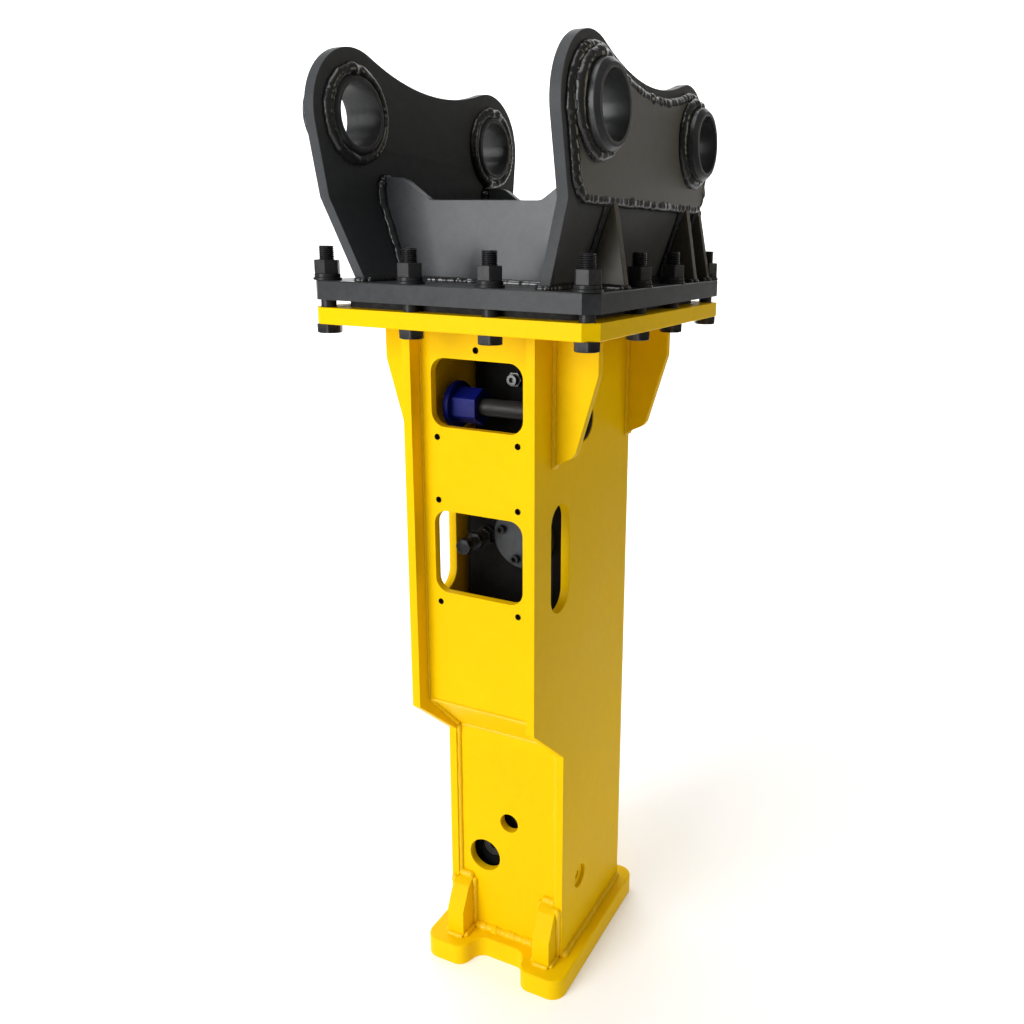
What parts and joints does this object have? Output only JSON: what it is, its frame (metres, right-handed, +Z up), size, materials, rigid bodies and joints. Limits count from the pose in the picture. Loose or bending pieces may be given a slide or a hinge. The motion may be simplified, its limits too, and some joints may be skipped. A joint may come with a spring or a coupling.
{
  "type": "hydraulic breaker hammer",
  "caption": "Box-housed hydraulic breaker for an excavator: pin-on top bracket, flanged housing with front windows, percussion body with piston, tool bushes and retaining pin inside.",
  "frame": {"origin": "on the floor, under the middle of the overall box; the centre of the flange bolt pattern is at Y = 15 mm and the tool axis at Y = 42 mm", "axes": "+Z up along the housing, towards the pin bracket; -Y is the side with the windows; the arm pins run along X"},
  "size_m": [0.5, 0.6035, 1.656],
  "materials": {
    "black_paint": "semi-gloss black paint over welded plate",
    "yellow_paint": "gloss yellow paint over welded plate",
    "black_oxide": "black oxide steel, lightly oiled",
    "rubber": "matt black elastomer",
    "body_paint": "black paint over machined forging",
    "bright_steel": "ground hardened steel",
    "bronze": "machined bronze",
    "seal": "polyurethane seal",
    "blue_plastic": "moulded blue polyethylene",
    "black_plastic": "moulded black polyethylene"
  },
  "bodies": {
    "housing": {"bracket_base_plate": "black_paint", "ear_left": "black_paint", "ear_right": "black_paint", "ear_doubler_left": "black_paint", "ear_doubler_right": "black_paint", "pin_boss_front_left": "black_paint", "pin_boss_front_right": "black_paint", "pin_boss_rear_left": "black_paint", "pin_boss_rear_right": "black_paint", "ear_ribs_left": "black_paint", "ear_ribs_right": "black_paint", "cross_plate_front": "black_paint", "cross_plate_rear": "black_paint", "housing_top_flange": "yellow_paint", "side_plate_left": "yellow_paint", "side_plate_right": "yellow_paint", "flange_gussets_left": "yellow_paint", "flange_gussets_right": "yellow_paint", "claw_left": "yellow_paint", "claw_right": "yellow_paint", "front_plate_upper": "yellow_paint", "front_plate_step": "yellow_paint", "front_plate_lower": "yellow_paint", "back_plate": "yellow_paint", "bottom_plate": "yellow_paint", "access_plug": "yellow_paint", "flange_bolts": "black_oxide", "flange_nuts": "black_oxide", "spring_washers": "black_oxide", "flat_washers": "black_oxide", "tie_rods": "black_oxide", "tie_rod_nuts": "black_oxide", "valve_cover_screws": "black_oxide", "adjuster_sleeve": "black_oxide", "gas_charge_valve": "black_oxide", "inlet_pipe": "black_oxide", "outlet_adapter": "black_oxide", "top_buffer_pad": "rubber", "bottom_cushion": "rubber", "upper_damper": "rubber", "side_dampers": "rubber", "front_head": "body_paint", "cylinder": "body_paint", "back_head": "body_paint", "port_block": "body_paint", "bush_lock_pin": "bright_steel", "lower_tool_bush": "bright_steel", "valve_cover": "bright_steel", "grease_nipple": "bright_steel", "thrust_bush": "bronze", "seal_carrier": "bronze", "gas_seals": "seal"},
    "piston": {"piston": "bright_steel"},
    "valve_spool": {"valve_spool": "bright_steel"},
    "retaining_pin": {"retaining_pin": "bright_steel", "retaining_pin_plug": "rubber"},
    "flow_adjuster": {"flow_adjuster": "black_oxide"},
    "inlet_cap": {"inlet_dust_cap": "blue_plastic"},
    "outlet_plug": {"outlet_dust_plug": "black_plastic"}
  },
  "joints": [
    {"name": "piston_stroke", "type": "slide", "parent": "housing", "child": "piston", "axis": [0, 0, 1], "range_m": [0, 0.08]},
    {"name": "valve_shift", "type": "slide", "parent": "housing", "child": "valve_spool", "axis": [0, 1, 0], "range_m": [0, 0.012]},
    {"name": "retaining_pin_out", "type": "slide", "parent": "housing", "child": "retaining_pin", "axis": [0, -1, 0], "range_m": [0, 0.2]},
    {"name": "flow_adjuster_turn", "type": "hinge", "parent": "housing", "child": "flow_adjuster", "pos_m": [-0.047, -0.085, 0.86], "axis": [0, -1, 0], "range_deg": [0, 360]},
    {"name": "inlet_cap_off", "type": "slide", "parent": "housing", "child": "inlet_cap", "axis": [-1, 0, 0], "range_m": [0, 0.0185]},
    {"name": "outlet_plug_out", "type": "slide", "parent": "housing", "child": "outlet_plug", "axis": [1, 0, 0], "range_m": [0, 0.05]}
  ]
}
